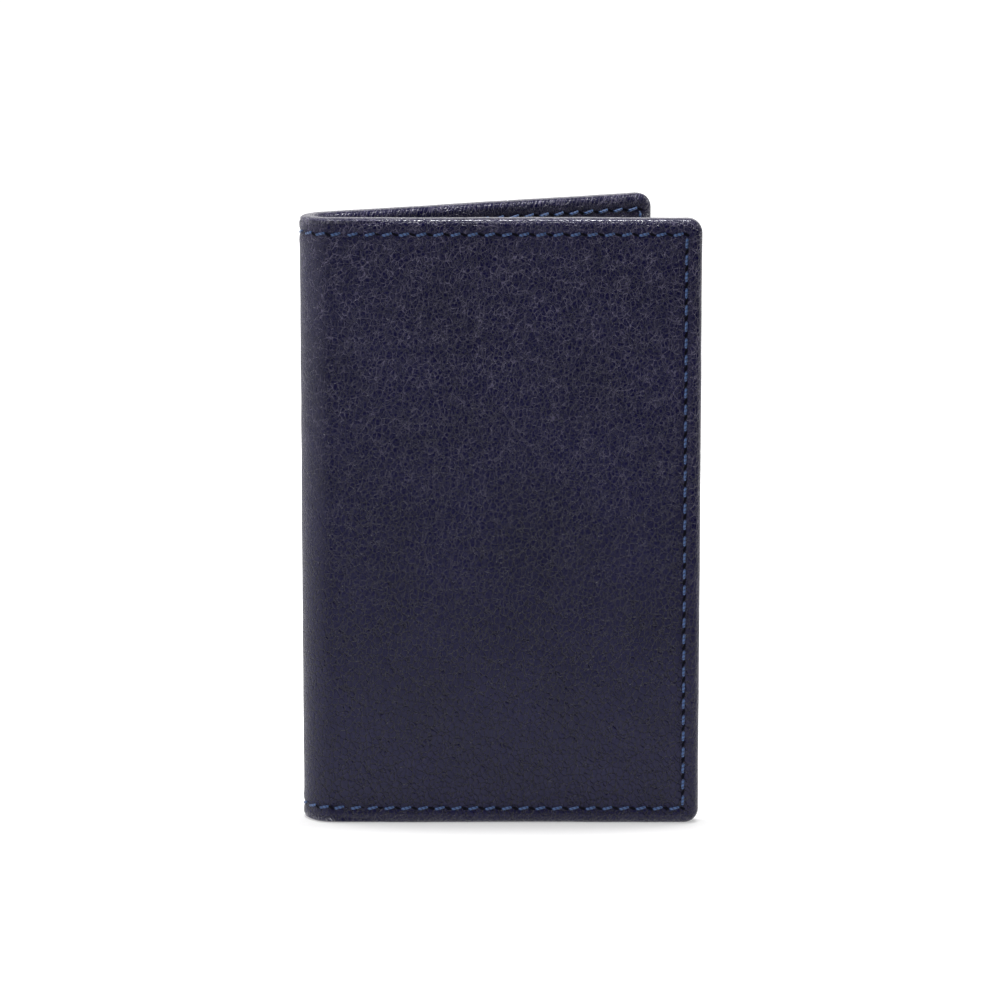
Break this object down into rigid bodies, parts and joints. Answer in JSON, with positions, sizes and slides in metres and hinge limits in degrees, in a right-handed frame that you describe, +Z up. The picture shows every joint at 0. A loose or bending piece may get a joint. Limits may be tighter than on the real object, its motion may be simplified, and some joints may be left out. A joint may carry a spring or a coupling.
{
  "type": "card holder",
  "caption": "Upright bifold card holder in grained leather with turned, stitched edges; the covers turn about a soft fold and hold card pockets.",
  "frame": {"origin": "bottom centre of the part as it stands on its bottom edges, part open", "axes": "+Z up along the covers' height; the front cover faces -Y; the fold is on the -X side"},
  "size_m": [0.069, 0.038, 0.106],
  "materials": {
    "outer_leather": "fine crackled grain, soft satin",
    "pocket_leather": "thin split leather, fine grain, satin",
    "woven_lining": "fine twill, matte",
    "stiffener_board": "plain greyboard, matte",
    "reinforcing_tape": "plain woven tape, matte",
    "stitch_thread": "waxed polyester thread, slight sheen"
  },
  "bodies": {
    "back_cover": {"back_leather": "outer_leather", "back_board": "stiffener_board", "back_lining": "woven_lining", "back_slip_sheet": "pocket_leather", "back_card_pocket": "pocket_leather", "back_outer_thread": "stitch_thread", "back_inner_thread": "stitch_thread", "back_pocket_thread": "stitch_thread"},
    "spine": {"spine_leather": "outer_leather", "spine_tape": "reinforcing_tape", "spine_lining": "woven_lining", "spine_outer_thread": "stitch_thread", "spine_inner_thread": "stitch_thread"},
    "front_cover": {"front_leather": "outer_leather", "front_board": "stiffener_board", "front_lining": "woven_lining", "front_slip_sheet": "pocket_leather", "front_upper_slot": "pocket_leather", "front_upper_slot_tongue": "woven_lining", "front_lower_slot": "pocket_leather", "front_outer_thread": "stitch_thread", "front_inner_thread": "stitch_thread", "front_pocket_thread": "stitch_thread"}
  },
  "joints": [
    {"name": "back_fold", "type": "hinge", "parent": "back_cover", "child": "spine", "pos_m": [-0.03395, -0.011, 0], "axis": [0, 0, -1], "range_deg": [-13, 77]},
    {"name": "front_fold", "type": "hinge", "parent": "spine", "child": "front_cover", "pos_m": [-0.03239, -0.01779, 0], "axis": [0, 0, -1], "range_deg": [-13, 77]}
  ],
  "couplings": [
    {"joint": "front_fold", "follows": "back_fold", "ratio": 1}
  ]
}
